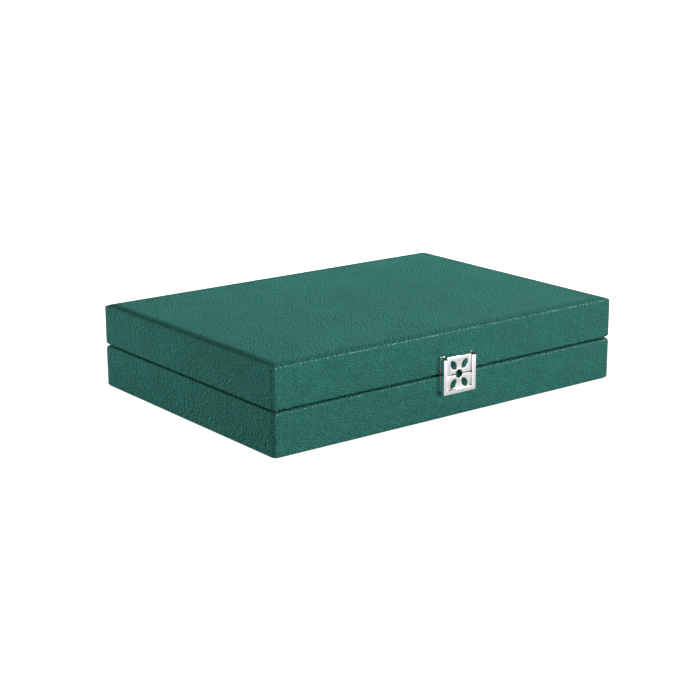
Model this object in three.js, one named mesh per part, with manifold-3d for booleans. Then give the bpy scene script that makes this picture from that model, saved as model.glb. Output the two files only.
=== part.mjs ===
// A leather-covered case that holds eight boxed decks of playing cards under a hinged lid.
// Millimetres, +Z up. The clasp is on the front, at -Y. The origin is the middle of the felt underside.
import * as THREE from "three";
import { mergeVertices } from "three/addons/utils/BufferGeometryUtils.js";
import Module from "manifold-3d";

const wasm = await Module();
wasm.setup();

// The case, over its leather
const caseWidth = 300;
const caseDepth = 211;
const baseRimHeight = 30.85; // from the table to the base's rim
const rimGap = 0.9; // between the two rims when the lid is shut
const lidHeight = 29.75; // from the lid's rim to its top
const cornerRound = 3; // upright corners, seen from above
const edgeRound = 2.2; // rims, top edge and bottom edge

// Skins and boards
const leather = 1;
const glue = 0.15; // between layers that are glued together
const wallBoard = 6;
const panelBoard = 4; // floor and top
const leatherLift = 0.5; // the felt keeps the leather this far off the table
const leatherTurnIn = 14; // how far the leather is folded under the base
const lining = 1.5; // suede over card
const liningDrop = 0.3; // the linings end this far inside the rims
const loose = 0.3; // between pieces that only stand beside each other
const padThickness = 5;
const padRound = 2;

// Dividers between the decks
const decksAcross = 4;
const dividerThickness = 3;
const dividerDrop = 3.8; // below the base's rim
const scoopRadius = 17;
const scoopDepth = 9;

// Rim bumpers
const bumperRadius = 2.1;
const bumperInset = 4.7; // from the outer faces to a bumper's middle

// Clasp: a U-shaped bail swings on a pin through the lid plate, and its legs grip the keeper plate on the base
const claspWidth = 28.4;
const claspHeight = 26.2;
const claspSplit = 0.7; // between the two plates, in line with the gap between the rims
const flange = 0.85; // thin back of each plate
const plateDepth = 3.1; // raised part of each plate, in front of its flange
const legWidth = 3.3;
const barHeight = 2.9;
const barThickness = 0.7;
const bailGap = 0.3; // between the bail and the plates
const bailCornerRound = 1;
const barrelRadius = 1.25;
const claspPinRadius = 0.6;
const pinClearance = 0.1;
const keeperDrop = 0.4; // the keeper ends this far above the bail's lower edge
const keeperFlangeDrop = 2.3; // and its flange this far
const plateTopRound = 0.9;
const frontTaper = 0.5; // the legs' front face ends this far below the pin

// Pierced rosette: a round eye on the split, and four leaves round it
const eyeRadius = 3;
const leafStart = 4.2; // from the eye's middle
const leafEnd = 12.2;
const leafWidth = 4.8;
const leafAngle = 53; // degrees above or below level

// Clasp screws, driven from inside the boards into the plates
const claspScrewX = 8.9;
const claspScrewZ = 5.5;
const screwRadius = 0.95;
const screwClearance = 0.25;
const claspScrewBite = 2; // into the plate
const panHeadRadius = 1.9;
const panHeadHeight = 1.3;

// Hinges
const hingeSpacing = 190; // middle to middle
const hingeLength = 34;
const leafPlate = 0.9; // thickness of a hinge leaf
const leafSeat = 0.2; // between a leaf and the board it's screwed to
const pinOut = 1.4; // the pin's middle is this far behind the case
const knuckleRadius = 1.9;
const knuckles = 5;
const knuckleGap = 0.3;
const hingePinRadius = 0.8;
const hingeScrewX = 10;
const countersinkRadius = 1.9;
const countersinkDepth = 0.75;
const hingeScrewLength = 7;

// Worked out from the sizes above
const lidRimHeight = baseRimHeight + rimGap;
const seamHeight = baseRimHeight + rimGap / 2;
const skin = leather + glue;
const innerWidth = caseWidth - 2 * (skin + wallBoard); // between the wall boards
const innerDepth = caseDepth - 2 * (skin + wallBoard);
const liningStep = glue + lining;
const leafReach = skin + wallBoard - glue; // a hinge leaf reaches in from the outer back face
const feltTop = leatherLift + leather;
const wellsWidth = innerWidth - 2 * liningStep; // between the linings
const wellsDepth = innerDepth - 2 * liningStep;
const floorTop = leatherLift + skin + panelBoard;
const floorLiningTop = floorTop + liningStep;
const frontFace = -caseDepth / 2;
const backFace = caseDepth / 2;
const past = 5; // how far a cutter runs past what it cuts

const paint = (color, roughness, metalness) =>
  new THREE.MeshStandardMaterial({ color, roughness, metalness });
const finishes = {
  leather: paint(0x35705f, 0.55, 0),
  board: paint(0xa98a63, 0.8, 0),
  suede: paint(0x8d857a, 0.95, 0),
  felt: paint(0x20302b, 0.95, 0),
  chrome: paint(0xd9dadb, 0.08, 1),
  steel: paint(0xa9abad, 0.3, 1),
  rubber: paint(0x3b3c3d, 0.6, 0),
};

// ---- solids ----

function solidOf(geometry) {
  const bare = geometry.clone();
  bare.deleteAttribute("normal");
  bare.deleteAttribute("uv");
  const merged = mergeVertices(bare);
  return new wasm.Manifold(
    new wasm.Mesh({
      numProp: 3,
      vertProperties: new Float32Array(merged.attributes.position.array),
      triVerts: new Uint32Array(merged.index.array),
    }),
  );
}

function meshOf(name, solid, finish) {
  const { numProp, numVert, vertProperties, triVerts } = solid.getMesh();
  const points = new Float32Array(numVert * 3);
  for (let i = 0; i < numVert; i++) {
    points.set(vertProperties.subarray(i * numProp, i * numProp + 3), i * 3);
  }
  const geometry = new THREE.BufferGeometry();
  geometry.setAttribute("position", new THREE.BufferAttribute(points, 3));
  geometry.setIndex(new THREE.BufferAttribute(new Uint32Array(triVerts), 1));
  geometry.computeVertexNormals();
  const mesh = new THREE.Mesh(geometry, finish);
  mesh.name = name;
  return mesh;
}

// A box from its lower and upper limits on each axis.
function block([x0, x1], [y0, y1], [z0, z1]) {
  const box = new THREE.BoxGeometry(x1 - x0, y1 - y0, z1 - z0);
  return solidOf(box.translate((x0 + x1) / 2, (y0 + y1) / 2, (z0 + z1) / 2));
}

const bothWays = (size) => [-size / 2, size / 2];

function roundedOutline(width, depth, corner) {
  const x = width / 2;
  const y = depth / 2;
  const quarter = Math.PI / 2;
  const shape = new THREE.Shape();
  shape.absarc(x - corner, corner - y, corner, -quarter, 0);
  shape.absarc(x - corner, y - corner, corner, 0, quarter);
  shape.absarc(corner - x, y - corner, corner, quarter, 2 * quarter);
  shape.absarc(corner - x, corner - y, corner, 2 * quarter, 3 * quarter);
  shape.closePath();
  return shape;
}

// A box with round upright corners and round upper and lower edges, standing on height z0.
function pillow(width, depth, z0, z1, corner, edge) {
  const geometry = new THREE.ExtrudeGeometry(roundedOutline(width, depth, corner), {
    depth: z1 - z0 - 2 * edge,
    bevelThickness: edge,
    bevelSize: edge,
    bevelOffset: -edge,
    bevelSegments: 3,
    curveSegments: 3,
  });
  return solidOf(geometry.translate(0, 0, z0 + edge));
}

// A cylinder along x, y or z, from one end to the other.
function rod(axis, radius, [from, to], [a, b], sides = 16) {
  const geometry = new THREE.CylinderGeometry(radius, radius, to - from, sides);
  const middle = (from + to) / 2;
  if (axis === "x") geometry.rotateZ(Math.PI / 2).translate(middle, a, b);
  if (axis === "y") geometry.translate(a, middle, b);
  if (axis === "z") geometry.rotateX(Math.PI / 2).translate(a, b, middle);
  return solidOf(geometry);
}

// A turned piece on the z axis, from points (radius, height) that start and end on the axis.
function turned(points, sides = 12) {
  const profile = points.map(([r, z]) => new THREE.Vector2(r, z));
  return solidOf(new THREE.LatheGeometry(profile, sides).rotateX(Math.PI / 2));
}

// ---- carcass ----

const covered = (layer) => [caseWidth - 2 * layer, caseDepth - 2 * layer];

// The leather: a skin over the whole outside, open inside the rim.
function baseCover() {
  const outside = pillow(...covered(0), leatherLift, baseRimHeight, cornerRound, edgeRound);
  const inside = pillow(
    ...covered(leather),
    leatherLift + leather,
    baseRimHeight - leather,
    cornerRound - leather,
    edgeRound - leather,
  );
  const mouth = block(
    bothWays(innerWidth),
    bothWays(innerDepth),
    [leatherLift + leather + past, baseRimHeight + past],
  );
  const underside = block(
    bothWays(caseWidth - 2 * leatherTurnIn),
    bothWays(caseDepth - 2 * leatherTurnIn),
    [-past, leatherLift + leather + past],
  );
  return outside.subtract(inside).subtract(mouth).subtract(underside);
}

function lidCover() {
  const lidTop = lidRimHeight + lidHeight;
  const outside = pillow(...covered(0), lidRimHeight, lidTop, cornerRound, edgeRound);
  const inside = pillow(
    ...covered(leather),
    lidRimHeight + leather,
    lidTop - leather,
    cornerRound - leather,
    edgeRound - leather,
  );
  const mouth = block(
    bothWays(innerWidth),
    bothWays(innerDepth),
    [lidRimHeight - past, lidRimHeight + leather + past],
  );
  return outside.subtract(inside).subtract(mouth);
}

// The boards' common outer shape, from which each board is taken.
function carcass(bottom, top) {
  return pillow(...covered(skin), bottom, top, cornerRound - skin, edgeRound - skin);
}

// Four wall boards between two heights: front and back run the full width, the sides stand between them.
function wallBoards(envelope, [z0, z1]) {
  const [width, depth] = covered(skin);
  const betweenX = [-width / 2 - past, width / 2 + past];
  const betweenY = bothWays(depth - 2 * (wallBoard + glue));
  const sideX = [width / 2 - wallBoard, width / 2 + past];
  const sideY = [depth / 2 - wallBoard, depth / 2 + past];
  const turn = ([low, high]) => [-high, -low];
  return {
    front: envelope.intersect(block(betweenX, turn(sideY), [z0, z1])),
    back: envelope.intersect(block(betweenX, sideY, [z0, z1])),
    left: envelope.intersect(block(turn(sideX), betweenY, [z0, z1])),
    right: envelope.intersect(block(sideX, betweenY, [z0, z1])),
  };
}

// Four suede-covered cards that stand against the walls.
function wallLinings(heights) {
  const x = [innerWidth / 2 - liningStep, innerWidth / 2 - glue];
  const y = [innerDepth / 2 - liningStep, innerDepth / 2 - glue];
  const turn = ([low, high]) => [-high, -low];
  const along = bothWays(innerWidth - 2 * glue);
  const between = bothWays(innerDepth - 2 * (liningStep + glue));
  return {
    front: block(along, turn(y), heights),
    back: block(along, y, heights),
    left: block(turn(x), between, heights),
    right: block(x, between, heights),
  };
}

// ---- cuts for the fittings ----

const hingeCentres = [-hingeSpacing / 2, hingeSpacing / 2];
const hingeScrewY = backFace - skin - wallBoard / 2;
const hingeScrewSpots = hingeCentres.flatMap((x) => [
  [x - hingeScrewX, hingeScrewY],
  [x + hingeScrewX, hingeScrewY],
]);

// Notches in a cover's rim, where the hinge leaves lie.
function hingeNotches(cover, heights) {
  return hingeCentres.reduce((left, x) => {
    const half = hingeLength / 2 + loose;
    const notch = block([x - half, x + half], [backFace - leafReach - loose, backFace + past], heights);
    return left.subtract(notch);
  }, cover);
}

function hingeScrewHoles(board, heights) {
  return hingeScrewSpots.reduce(
    (left, spot) => left.subtract(rod("z", screwRadius + screwClearance, heights, spot)),
    board,
  );
}

// Holes for the clasp's screws through the front, on the side of the seam that sign gives.
function claspScrewHoles(piece, sign, counterbored) {
  const z = seamHeight + sign * claspScrewZ;
  const boardInside = frontFace + skin + wallBoard;
  let left = piece;
  for (const x of [-claspScrewX, claspScrewX]) {
    const through = [frontFace - past, boardInside + past];
    left = left.subtract(rod("y", screwRadius + screwClearance, through, [x, z]));
    if (counterbored) {
      const seat = [boardInside - panHeadHeight - loose, boardInside + past];
      left = left.subtract(rod("y", panHeadRadius + screwClearance, seat, [x, z]));
    }
  }
  return left;
}

// ---- base ----

function addBase(group) {
  const boardTop = baseRimHeight - skin;
  const leafHeights = [baseRimHeight - skin - glue, baseRimHeight + past];
  const cover = hingeNotches(claspScrewHoles(baseCover(), -1), leafHeights);
  group.add(meshOf("base_leather_cover", cover, finishes.leather));

  const envelope = carcass(leatherLift + skin, boardTop);
  const wide = caseWidth + past;
  const floor = envelope.intersect(block(bothWays(wide), bothWays(wide), [0, floorTop]));
  group.add(meshOf("base_floor_board", floor, finishes.board));

  const walls = wallBoards(envelope, [floorTop + glue, boardTop + past]);
  walls.front = claspScrewHoles(walls.front, -1, true);
  walls.back = hingeScrewHoles(walls.back, [boardTop - hingeScrewLength, boardTop + past]);
  const linings = wallLinings([floorTop + glue, baseRimHeight - liningDrop]);
  for (const side of ["front", "back", "left", "right"]) {
    group.add(meshOf(`base_${side}_board`, walls[side], finishes.board));
    group.add(meshOf(`base_${side}_lining`, linings[side], finishes.suede));
  }

  const floorLining = block(
    bothWays(wellsWidth - 2 * glue),
    bothWays(wellsDepth - 2 * glue),
    [floorTop + glue, floorLiningTop],
  );
  group.add(meshOf("base_floor_lining", floorLining, finishes.suede));

  const underside = block(
    bothWays(caseWidth - 2 * (leatherTurnIn + loose)),
    bothWays(caseDepth - 2 * (leatherTurnIn + loose)),
    [0, feltTop],
  );
  group.add(meshOf("base_felt", underside, finishes.felt));

  for (const [side, sign] of [["left", -1], ["right", 1]]) {
    const spot = [sign * (caseWidth / 2 - bumperInset), frontFace + bumperInset];
    const heights = [baseRimHeight + glue / 2, lidRimHeight - glue];
    group.add(meshOf(`rim_bumper_${side}`, rod("z", bumperRadius, heights, spot), finishes.rubber));
  }
}

// ---- dividers ----

// One long divider and the cross dividers are slotted halfway into each other.
function addDividers(group) {
  const bottom = floorLiningTop + glue;
  const top = baseRimHeight - dividerDrop;
  const halfway = (bottom + top) / 2;
  const slotWidth = dividerThickness + 2 * loose;
  const crossPitch = (wellsWidth - 2 * loose + dividerThickness) / decksAcross;
  const crossCentres = Array.from(
    { length: decksAcross - 1 },
    (_, i) => crossPitch * (i + 1 - decksAcross / 2),
  );

  let long = block(bothWays(wellsWidth - 2 * loose), bothWays(dividerThickness), [bottom, top]);
  for (const x of crossCentres) {
    const slot = block([x - slotWidth / 2, x + slotWidth / 2], bothWays(slotWidth), [
      halfway,
      top + past,
    ]);
    long = long.subtract(slot);
  }
  group.add(meshOf("divider_long", long, finishes.suede));

  const wellCentre = (wellsDepth + dividerThickness) / 4;
  crossCentres.forEach((x, i) => {
    const across = [x - dividerThickness / 2, x + dividerThickness / 2];
    const around = [across[0] - past, across[1] + past];
    let cross = block(across, bothWays(wellsDepth - 2 * loose), [bottom, top]);
    cross = cross.subtract(block(around, bothWays(slotWidth), [bottom - past, halfway + loose]));
    for (const y of [-wellCentre, wellCentre]) {
      const scoopHeight = top - scoopDepth + scoopRadius;
      cross = cross.subtract(rod("x", scoopRadius, around, [y, scoopHeight], 40));
    }
    group.add(meshOf(`divider_cross_${i + 1}`, cross, finishes.suede));
  });
}

// ---- lid ----

function addLid(group) {
  const boardBottom = lidRimHeight + skin;
  const boardTop = lidRimHeight + lidHeight - skin;
  const ceiling = boardTop - panelBoard;
  const leafHeights = [lidRimHeight - past, boardBottom + glue];
  const cover = hingeNotches(claspScrewHoles(lidCover(), 1), leafHeights);
  group.add(meshOf("lid_leather_cover", cover, finishes.leather));

  const envelope = carcass(boardBottom, boardTop);
  const wide = caseWidth + past;
  const top = envelope.intersect(
    block(bothWays(wide), bothWays(wide), [ceiling, boardTop + past]),
  );
  group.add(meshOf("lid_top_board", top, finishes.board));

  const walls = wallBoards(envelope, [boardBottom - past, ceiling - glue]);
  walls.front = claspScrewHoles(walls.front, 1, true);
  walls.back = hingeScrewHoles(walls.back, [boardBottom - past, boardBottom + hingeScrewLength]);
  const linings = wallLinings([lidRimHeight + liningDrop, ceiling - glue]);
  for (const side of ["front", "back", "left", "right"]) {
    group.add(meshOf(`lid_${side}_board`, walls[side], finishes.board));
    group.add(meshOf(`lid_${side}_lining`, linings[side], finishes.suede));
  }

  const pad = pillow(
    wellsWidth - 2 * loose,
    wellsDepth - 2 * loose,
    ceiling - glue - padThickness,
    ceiling - glue,
    padRound + glue,
    padRound,
  );
  group.add(meshOf("lid_pad", pad, finishes.suede));
}

// ---- clasp, in a frame on the front face at the seam: -y points outwards ----

const halfClasp = claspHeight / 2;
const plateBack = -glue;
const flangeFront = plateBack - flange;
const plateFront = flangeFront - plateDepth;
const barBack = plateFront - bailGap;
const bailFront = barBack - barThickness;
const legBack = flangeFront - bailGap;
const claspPinY = legBack - barrelRadius;
const claspPinZ = halfClasp - barrelRadius;
const plateWidth = claspWidth - 2 * (legWidth + bailGap);

// A leaf pierced right through, between two arcs that meet in points.
function leafCutter(angle) {
  const half = (leafEnd - leafStart) / 2;
  const rise = leafWidth / 2;
  const radius = (half * half + rise * rise) / (2 * rise);
  const sweep = Math.asin(half / radius);
  const shape = new THREE.Shape();
  const up = Math.PI / 2;
  shape.absarc(0, rise - radius, radius, up - sweep, up + sweep);
  shape.absarc(0, radius - rise, radius, -up - sweep, sweep - up);
  const geometry = new THREE.ExtrudeGeometry(shape, {
    depth: 4 * past,
    bevelEnabled: false,
    curveSegments: 6,
  });
  geometry.translate((leafStart + leafEnd) / 2, 0, -2 * past);
  geometry.rotateZ(THREE.MathUtils.degToRad(angle));
  return solidOf(geometry.rotateX(Math.PI / 2));
}

function pierced(plate) {
  let left = plate.subtract(rod("y", eyeRadius, [-2 * past, past], [0, 0], 24));
  for (const angle of [leafAngle, 180 - leafAngle, -leafAngle, leafAngle - 180]) {
    left = left.subtract(leafCutter(angle));
  }
  return left;
}

// Blind holes in a plate's back for its two screws.
function screwSockets(plate, sign) {
  const depth = [plateBack - claspScrewBite - screwClearance, past];
  return [-claspScrewX, claspScrewX].reduce(
    (left, x) =>
      left.subtract(rod("y", screwRadius + screwClearance, depth, [x, sign * claspScrewZ])),
    plate,
  );
}

function addClaspPlates(group) {
  const raised = [plateFront, flangeFront + glue];
  const thin = [flangeFront, plateBack];
  const splitEdge = claspSplit / 2;

  let lidPlate = block(bothWays(plateWidth), raised, [splitEdge, halfClasp - plateTopRound]);
  const brow = rod("x", plateTopRound, bothWays(plateWidth), [
    plateFront + plateTopRound,
    halfClasp - plateTopRound,
  ]);
  const crown = block(
    bothWays(plateWidth),
    [plateFront + plateTopRound, flangeFront + glue],
    [splitEdge, halfClasp],
  );
  lidPlate = lidPlate.add(brow).add(crown);
  lidPlate = lidPlate.add(block(bothWays(claspWidth), thin, [splitEdge, halfClasp]));
  const pinHole = rod("x", claspPinRadius + pinClearance, bothWays(claspWidth), [
    claspPinY,
    claspPinZ,
  ]);
  lidPlate = screwSockets(pierced(lidPlate.subtract(pinHole)), 1);
  group.add(meshOf("clasp_lid_plate", lidPlate, finishes.chrome));

  const keeperBottom = keeperDrop - halfClasp;
  let keeper = block(bothWays(plateWidth), raised, [keeperBottom, -splitEdge]);
  keeper = keeper.add(
    block(bothWays(claspWidth), thin, [keeperFlangeDrop - halfClasp, -splitEdge]),
  );
  keeper = screwSockets(pierced(keeper), -1);
  group.add(meshOf("clasp_keeper_plate", keeper, finishes.chrome));
}

// The bail: two legs that reach back beside the plates, and a thin bar across the front.
function addBail(group) {
  const side = new THREE.Shape();
  side.moveTo(legBack, -halfClasp);
  side.lineTo(legBack, claspPinZ);
  side.absarc(claspPinY, claspPinZ, barrelRadius, 0, Math.PI * 0.75);
  side.lineTo(bailFront, claspPinZ - frontTaper);
  side.lineTo(bailFront, -halfClasp);
  side.closePath();
  const sideways = new THREE.ExtrudeGeometry(side, {
    depth: claspWidth,
    bevelEnabled: false,
    curveSegments: 6,
  });
  // the outline's x and y become the clasp's y and z
  sideways.applyMatrix4(
    new THREE.Matrix4().makeBasis(
      new THREE.Vector3(0, 1, 0),
      new THREE.Vector3(0, 0, 1),
      new THREE.Vector3(1, 0, 0),
    ),
  );
  const fullWidth = solidOf(sideways.translate(-claspWidth / 2, 0, 0));

  const front = new THREE.ExtrudeGeometry(
    roundedOutline(claspWidth, claspHeight, bailCornerRound),
    { depth: 4 * past, bevelEnabled: false, curveSegments: 5 },
  );
  const rounded = solidOf(front.translate(0, 0, -2 * past).rotateX(Math.PI / 2));
  const topCorners = block(bothWays(claspWidth), [-2 * past, past], [0, halfClasp]);

  const inside = bothWays(plateWidth + 2 * bailGap);
  const window = block(inside, [-2 * past, past], [barHeight - halfClasp, halfClasp + past]);
  const behindBar = block(inside, [barBack, past], [-halfClasp - past, halfClasp]);
  const pinHole = rod("x", claspPinRadius + pinClearance, bothWays(claspWidth + past), [
    claspPinY,
    claspPinZ,
  ]);
  const bail = fullWidth
    .intersect(rounded.add(topCorners))
    .subtract(window)
    .subtract(behindBar)
    .subtract(pinHole);
  group.add(meshOf("clasp_bail", bail, finishes.chrome));

  const pin = rod("x", claspPinRadius, bothWays(claspWidth - glue), [claspPinY, claspPinZ]);
  group.add(meshOf("clasp_pin", pin, finishes.steel));
}

function claspScrew() {
  const boardInside = skin + wallBoard;
  const headTop = boardInside - loose + glue;
  const headBottom = headTop - panHeadHeight + glue;
  const tip = plateBack - claspScrewBite;
  const screw = turned([
    [0, tip],
    [screwRadius, tip],
    [screwRadius, headBottom],
    [panHeadRadius, headBottom],
    [panHeadRadius, headTop - loose],
    [panHeadRadius - loose, headTop],
    [0, headTop],
  ]);
  return screw;
}

function addClaspScrews(group) {
  for (const [plate, sign] of [["lid_plate", 1], ["keeper", -1]]) {
    for (const [side, x] of [["left", -claspScrewX], ["right", claspScrewX]]) {
      const screw = meshOf(`clasp_${plate}_screw_${side}`, claspScrew(), finishes.steel);
      screw.rotation.x = -Math.PI / 2; // its axis turns from +z to +y, into the case
      screw.position.set(x, 0, sign * claspScrewZ);
      group.add(screw);
    }
  }
}

// ---- hinges, each in a frame on its pin ----

// A leaf: a plate in the rim with every other knuckle on the pin. side is 1 for the lid's leaf and -1 for the base's.
function hingeLeaf(side) {
  const pitch = hingeLength / knuckles;
  const outer = side * (rimGap / 2 + skin - leafSeat);
  const inner = outer - side * leafPlate;
  const heights = [Math.min(outer, inner), Math.max(outer, inner)];
  const edge = -(pinOut + leafReach);
  const clearOfKnuckles = -(knuckleRadius + loose);
  let leaf = block(bothWays(hingeLength), [edge, clearOfKnuckles], heights);
  for (let i = 0; i < knuckles; i++) {
    const mine = (i % 2 === 0) === side < 0;
    if (!mine) continue;
    const span = [
      -hingeLength / 2 + i * pitch + (i === 0 ? 0 : knuckleGap / 2),
      -hingeLength / 2 + (i + 1) * pitch - (i === knuckles - 1 ? 0 : knuckleGap / 2),
    ];
    leaf = leaf.add(rod("x", knuckleRadius, span, [0, 0], 20));
    leaf = leaf.add(block(span, [clearOfKnuckles - glue, 0], heights));
  }
  leaf = leaf.subtract(
    rod("x", hingePinRadius + pinClearance, bothWays(hingeLength + past), [0, 0]),
  );
  for (const x of [-hingeScrewX, hingeScrewX]) {
    const hole = countersunkShape(screwClearance);
    const y = hingeScrewY - backFace - pinOut;
    leaf = leaf.subtract(placedScrew(hole, side, x, y, heights));
  }
  return leaf;
}

// A countersunk screw, or the hole for one when it's grown: head up, its top on z = 0.
function countersunkShape(grow) {
  const lift = grow > 0 ? grow : 0;
  return turned([
    [0, -hingeScrewLength + loose],
    [screwRadius + grow, -hingeScrewLength + loose],
    [screwRadius + grow, -countersinkDepth],
    [countersinkRadius + grow, -glue],
    [countersinkRadius + grow, lift],
    [0, lift],
  ]);
}

// Puts a screw's head flush with a leaf's face, the side that shows when the lid is open.
function placedScrew(solid, side, x, y, heights) {
  const face = side < 0 ? heights[1] : heights[0];
  const turnedOver = side < 0 ? solid : solid.rotate([180, 0, 0]);
  return turnedOver.translate([x, y, face]);
}

function addHinge(group, name) {
  group.add(meshOf(`${name}_base_leaf`, hingeLeaf(-1), finishes.chrome));
  group.add(meshOf(`${name}_lid_leaf`, hingeLeaf(1), finishes.chrome));
  const pin = rod("x", hingePinRadius, bothWays(hingeLength - glue), [0, 0]);
  group.add(meshOf(`${name}_pin`, pin, finishes.steel));
  for (const [leafName, side] of [["base", -1], ["lid", 1]]) {
    const outer = side * (rimGap / 2 + skin - leafSeat);
    const inner = outer - side * leafPlate;
    const heights = [Math.min(outer, inner), Math.max(outer, inner)];
    [-hingeScrewX, hingeScrewX].forEach((x, i) => {
      const y = hingeScrewY - backFace - pinOut;
      const screw = placedScrew(countersunkShape(0), side, x, y, heights);
      group.add(meshOf(`${name}_${leafName}_screw_${i + 1}`, screw, finishes.steel));
    });
  }
}

// ---- the case ----

const deckCase = new THREE.Group();
addBase(deckCase);
addDividers(deckCase);
addLid(deckCase);

const clasp = new THREE.Group();
clasp.position.set(0, frontFace, seamHeight);
addClaspPlates(clasp);
addBail(clasp);
addClaspScrews(clasp);
deckCase.add(clasp);

["left", "right"].forEach((side, i) => {
  const hinge = new THREE.Group();
  hinge.position.set(hingeCentres[i], backFace + pinOut, seamHeight);
  addHinge(hinge, `hinge_${side}`);
  deckCase.add(hinge);
});

export default deckCase;
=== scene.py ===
import math

import bmesh
import bpy
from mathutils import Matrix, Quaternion, Vector


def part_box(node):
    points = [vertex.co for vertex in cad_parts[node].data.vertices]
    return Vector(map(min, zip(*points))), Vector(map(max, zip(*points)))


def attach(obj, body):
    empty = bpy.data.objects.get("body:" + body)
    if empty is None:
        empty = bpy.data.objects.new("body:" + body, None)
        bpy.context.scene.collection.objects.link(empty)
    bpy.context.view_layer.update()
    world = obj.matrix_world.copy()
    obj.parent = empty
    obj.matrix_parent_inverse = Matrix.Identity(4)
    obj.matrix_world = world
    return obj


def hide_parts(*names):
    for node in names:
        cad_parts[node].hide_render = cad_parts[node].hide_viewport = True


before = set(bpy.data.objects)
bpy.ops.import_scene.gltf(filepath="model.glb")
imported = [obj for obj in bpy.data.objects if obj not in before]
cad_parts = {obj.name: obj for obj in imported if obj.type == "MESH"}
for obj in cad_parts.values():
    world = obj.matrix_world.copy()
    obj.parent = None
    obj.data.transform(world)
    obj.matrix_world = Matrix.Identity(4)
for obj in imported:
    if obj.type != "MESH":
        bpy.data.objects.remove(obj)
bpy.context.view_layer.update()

mm = 0.001
touch = 0.01 * mm  # two heights this near count as one
weldReach = 0.001 * mm
flatAngle = 1  # degrees between faces that count as one flat face
level = 0.9  # how far a level face's normal points up or down, at least


def deselectAll():
    if bpy.context.object and bpy.context.object.mode != "OBJECT":
        bpy.ops.object.mode_set(mode="OBJECT")
    bpy.ops.object.select_all(action="DESELECT")


def makeActive(obj):
    deselectAll()
    obj.select_set(True)
    bpy.context.view_layer.objects.active = obj


def startEdit(obj):
    makeActive(obj)
    bpy.ops.object.mode_set(mode="EDIT")


def endEdit():
    bpy.ops.object.mode_set(mode="OBJECT")


def pickFaces(obj, test):
    bpy.ops.mesh.select_mode(type="FACE")
    bpy.ops.mesh.select_all(action="DESELECT")
    work = bmesh.from_edit_mesh(obj.data)
    for face in work.faces:
        face.select_set(bool(test(face.calc_center_median(), face.normal)))
    bmesh.update_edit_mesh(obj.data)


def pickEdges(obj, test):
    bpy.ops.mesh.select_mode(type="EDGE")
    bpy.ops.mesh.select_all(action="DESELECT")
    work = bmesh.from_edit_mesh(obj.data)
    for edge in work.edges:
        edge.select_set(bool(test(edge.verts[0].co, edge.verts[1].co)))
    work.select_flush_mode()
    bmesh.update_edit_mesh(obj.data)


def settleInMesh(obj, name):
    obj.name = obj.data.name = name
    bpy.ops.object.transform_apply(location=True, rotation=True, scale=True)
    return obj


def addBlock(name, low, high):
    deselectAll()
    low, high = Vector(low), Vector(high)
    bpy.ops.mesh.primitive_cube_add(size=1, location=(low + high) / 2)
    bpy.context.object.scale = high - low
    return settleInMesh(bpy.context.object, name)


def applyModifier(obj, kind, **values):
    makeActive(obj)
    modifier = obj.modifiers.new(kind.lower(), kind)
    for key, value in values.items():
        setattr(modifier, key, value)
    bpy.ops.object.modifier_apply(modifier=modifier.name)


def cutAway(obj, cutters):
    for cutter in cutters:
        applyModifier(obj, "BOOLEAN", operation="DIFFERENCE", solver="EXACT", object=cutter)
        bpy.data.objects.remove(cutter)


def smoothByAngle(obj, degrees=40):
    makeActive(obj)
    bpy.ops.object.shade_smooth_by_angle(angle=math.radians(degrees))


def copyOf(node, name):  # the frame's own shape, merged into one clean closed mesh
    obj = bpy.data.objects.new(name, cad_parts[node].data.copy())
    obj.data.name = name
    bpy.context.collection.objects.link(obj)
    startEdit(obj)
    bpy.ops.mesh.select_all(action="SELECT")
    bpy.ops.mesh.remove_doubles(threshold=weldReach)
    bpy.ops.mesh.dissolve_limited(angle_limit=math.radians(flatAngle))
    endEdit()
    return obj


def roundEdges(obj, width, segments=3, degrees=35):
    applyModifier(obj, "BEVEL", width=width, segments=segments, limit_method="ANGLE",
                  angle_limit=math.radians(degrees), harden_normals=False)
    smoothByAngle(obj, degrees)


def dress(obj, body, slot, material, *nodes):
    obj.data.materials.clear()
    obj.data.materials.append(material)
    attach(obj, body)
    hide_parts(*nodes)


def addNode(tree, kind, inputs=None, **settings):
    node = tree.nodes.new(kind)
    for key, value in settings.items():
        setattr(node, key, value)
    for socket, value in (inputs or {}).items():
        node.inputs[socket].default_value = value
    return node


def newGroup(name, inputs, outputs):
    group = bpy.data.node_groups.new(name, "ShaderNodeTree")
    for label, kind, value in inputs:
        socket = group.interface.new_socket(name=label, in_out="INPUT", socket_type=kind)
        if value is not None:
            socket.default_value = value
    for label in outputs:
        group.interface.new_socket(name=label, in_out="OUTPUT", socket_type="NodeSocketFloat")
    return group, addNode(group, "NodeGroupInput"), addNode(group, "NodeGroupOutput")


def newMaterial(name, **sockets):
    material = bpy.data.materials.new(name)
    material.use_nodes = True
    tree = material.node_tree
    shader = tree.nodes["Principled BSDF"]
    for label, value in sockets.items():
        shader.inputs[label.replace("_", " ")].default_value = value
    return material, tree, shader


def mapped(tree, source, toLow, toHigh, fromLow=0.0, fromHigh=1.0, smooth=True):
    node = addNode(tree, "ShaderNodeMapRange", {
        "From Min": fromLow, "From Max": fromHigh, "To Min": toLow, "To Max": toHigh,
    }, interpolation_type="SMOOTHSTEP" if smooth else "LINEAR")
    tree.links.new(source, node.inputs["Value"])
    return node.outputs["Result"]


def combined(tree, operation, first, second):
    node = addNode(tree, "ShaderNodeMath", operation=operation)
    for socket, value in zip(node.inputs, (first, second)):
        if isinstance(value, (int, float)):
            socket.default_value = value
        else:
            tree.links.new(value, socket)
    return node.outputs[0]


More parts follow.
